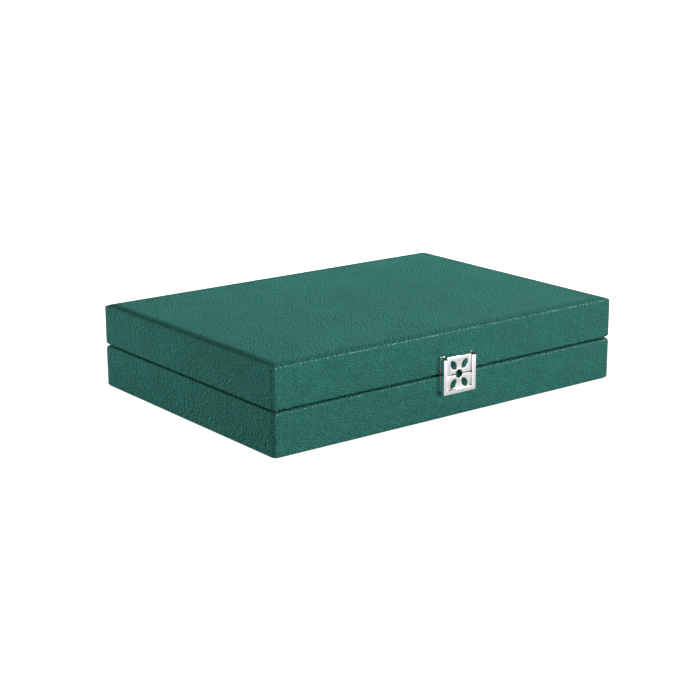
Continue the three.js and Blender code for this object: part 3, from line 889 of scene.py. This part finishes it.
def addScrewShape(node):  # a countersunk screw, head up, that the others are copied from
    low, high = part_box(node)
    shape = screwShape
    radius = (high.x - low.x) / 2
    deselectAll()
    bpy.ops.mesh.primitive_cylinder_add(
        vertices=shape["sides"], radius=radius, depth=shape["disc"], location=(0, 0, -shape["disc"] / 2))
    screw = settleInMesh(bpy.context.object, "hingeScrew")
    startEdit(screw)
    pickFaces(screw, lambda place, normal: normal.z < -level)
    now = radius
    shank = high.z - low.z - shape["disc"] - shape["sinkDepth"] - shape["tip"]
    for to, fall in (
        (shape["neck"], shape["sinkDepth"]),
        (shape["neck"], shank),
        (shape["point"], shape["tip"]),
    ):
        bpy.ops.mesh.extrude_region_move(TRANSFORM_OT_translate={"value": (0, 0, -fall)})
        bpy.ops.transform.resize(value=(to / now, to / now, 1), center_override=(0, 0, 0))
        now = to
    pickEdges(screw, lambda a, b: min(a.z, b.z) > -touch)
    bpy.ops.mesh.bevel(offset=shape["crown"], segments=shape["crownSegments"], affect="EDGES")
    endEdit()
    halfLength, width, depth = shape["slot"]
    cutAway(screw, [
        addBlock("slotCutter", (-halfLength, -width / 2, -depth), (halfLength, width / 2, mm)),
        addBlock("slotCutter", (-width / 2, -halfLength, -depth), (width / 2, halfLength, mm)),
    ])
    smoothByAngle(screw, shape["sharp"])
    return screw


def placeScrew(master, node, body, turn):
    low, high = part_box(node)
    obj = master.copy()
    obj.data = master.data.copy()
    bpy.context.collection.objects.link(obj)
    makeActive(obj)
    headUp = body == "base"
    obj.rotation_euler = (0 if headUp else math.pi, 0, math.radians(turn))
    obj.location = ((low.x + high.x) / 2, (low.y + high.y) / 2, high.z if headUp else low.z)
    words = node.split("_")
    settleInMesh(obj, words[1] + words[2].title() + "HingeScrew" + words[-1])
    dress(obj, body, "steel", steel, node)


masterScrew = addScrewShape("hinge_left_base_screw_1")
screwTurns = iter((12, 57, -31, 74, 22, -8, 41, 66))  # degrees, so that no two slots line up
for side in ("left", "right"):
    for body in ("base", "lid"):
        leaf = copyOf(f"hinge_{side}_{body}_leaf", f"{side}{body.title()}HingeLeaf")
        roundEdges(leaf, hingeShape["edge"], hingeShape["segments"])
        dress(leaf, body, "steel", steel, f"hinge_{side}_{body}_leaf")
        for number in (1, 2):
            placeScrew(masterScrew, f"hinge_{side}_{body}_screw_{number}", body, next(screwTurns))
    addPin(f"hinge_{side}_pin", f"{side}HingePin", "base", "steel", steel)
bpy.data.objects.remove(masterScrew)
print("stage: the hinges are on")

for node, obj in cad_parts.items():  # the boards and the clasp's screws show the frame's shapes
    kept = board if node.endswith("_board") else steel
    for i in range(len(obj.data.materials)):
        obj.data.materials[i] = kept

studio = {
    "floorSize": 40.0,
    "floorShade": (0.1, 0.55),  # painted shade: the floor is duller close to the case, which keeps the foot of its walls deep in tone
    "shadeReach": (0.14, 0.42),
    "floorGlow": 0.08,
    "mirrorGlow": 0.5,  # painted reflection: glow that only glossy reflections see, in the polished metal most of all
    "cameraGlow": 1.0,  # added where the floor is seen straight, so that it stays near white
    "lowSky": 0.34,
    "highSky": 0.06,
    "skyFade": (0.30, 0.55),  # sine of the elevation
    "seenSky": 1.2,
    "panels": {
        "frontPanel": {"place": (0.40, -1.92, 0.42), "size": (2.0, 1.1), "power": 49.0, "shine": True},
        "sidePanel": {"place": (1.60, 0.60, 0.85), "size": (1.1, 0.9), "power": 74.0, "shine": False},
        "backPanel": {"place": (-0.70, 1.50, 0.22), "size": (0.8, 0.4), "power": 37.0, "shine": False},
    },
}
cameraView = {
    "azimuth": -37.61,
    "elevation": 15.25,
    "distance": 1.194,
    "aim": (-1.25 * mm, 9.3 * mm, 22.5 * mm),
    "lens": 84.0,
    "roll": -0.17,
    "clip": (0.01, 100),
}


def makeFloor():
    deselectAll()
    bpy.ops.mesh.primitive_plane_add(size=studio["floorSize"], location=(0, 0, feltLow.z))
    floor = settleInMesh(bpy.context.object, "paleFloor")
    material, tree, shader = newMaterial(
        "palePaper", Roughness=0.9, Specular_IOR_Level=0.1, Emission_Strength=1.0)
    place = addNode(tree, "ShaderNodeTexCoord")
    away = addNode(tree, "ShaderNodeVectorMath", operation="LENGTH")
    tree.links.new(place.outputs["Object"], away.inputs[0])
    # painted shade: the floor's colour is darker close to the case
    shade = mapped(tree, away.outputs["Value"], *studio["floorShade"], *studio["shadeReach"])
    tree.links.new(shade, shader.inputs["Base Color"])
    rays = addNode(tree, "ShaderNodeLightPath")
    seen = combined(tree, "MULTIPLY", rays.outputs["Is Camera Ray"], studio["cameraGlow"])
    # painted reflection: extra glow that only reflections see
    mirrored = combined(tree, "MULTIPLY", rays.outputs["Is Glossy Ray"], studio["mirrorGlow"])
    glow = combined(tree, "ADD", combined(tree, "ADD", seen, mirrored), studio["floorGlow"])
    tree.links.new(glow, shader.inputs["Emission Color"])
    floor.data.materials.append(material)


def makeSky():
    world = bpy.data.worlds.new("studioSky")
    world.use_nodes = True
    bpy.context.scene.world = world
    tree = world.node_tree
    background = tree.nodes["Background"]
    background.inputs["Color"].default_value = (1, 1, 1, 1)
    place = addNode(tree, "ShaderNodeTexCoord")
    split = addNode(tree, "ShaderNodeSeparateXYZ")
    tree.links.new(place.outputs["Generated"], split.inputs[0])
    sky = mapped(tree, split.outputs["Z"], studio["lowSky"], studio["highSky"], *studio["skyFade"])
    rays = addNode(tree, "ShaderNodeLightPath")
    seen = combined(tree, "MULTIPLY", rays.outputs["Is Camera Ray"], studio["seenSky"])
    tree.links.new(combined(tree, "MAXIMUM", sky, seen), background.inputs["Strength"])


def addSoftLight(name, values):
    deselectAll()
    bpy.ops.object.light_add(type="AREA", location=values["place"])
    lamp = bpy.context.object
    lamp.name = name
    lamp.data.shape = "RECTANGLE"
    lamp.data.size, lamp.data.size_y = values["size"]
    lamp.data.energy = values["power"]
    lamp.rotation_euler = (-Vector(values["place"])).to_track_quat("-Z", "Y").to_euler()
    lamp.visible_camera = False
    lamp.visible_glossy = values["shine"]


def addCamera(view):
    turn, rise = math.radians(view["azimuth"]), math.radians(view["elevation"])
    back = Vector((math.sin(turn) * math.cos(rise), -math.cos(turn) * math.cos(rise), math.sin(rise)))
    deselectAll()
    bpy.ops.object.camera_add(location=Vector(view["aim"]) + back * view["distance"])
    camera = bpy.context.object
    camera.name = "viewCamera"
    camera.data.lens = view["lens"]
    facing = (-back).to_track_quat("-Z", "Y") @ Quaternion((0, 0, 1), math.radians(view["roll"]))
    camera.rotation_euler = facing.to_euler()
    camera.data.clip_start, camera.data.clip_end = view["clip"]
    bpy.context.scene.camera = camera


makeFloor()
makeSky()
for panelName, panelValues in studio["panels"].items():
    addSoftLight(panelName, panelValues)
addCamera(cameraView)
bpy.context.scene.view_settings.view_transform = "Standard"
print("stage: the set is ready")
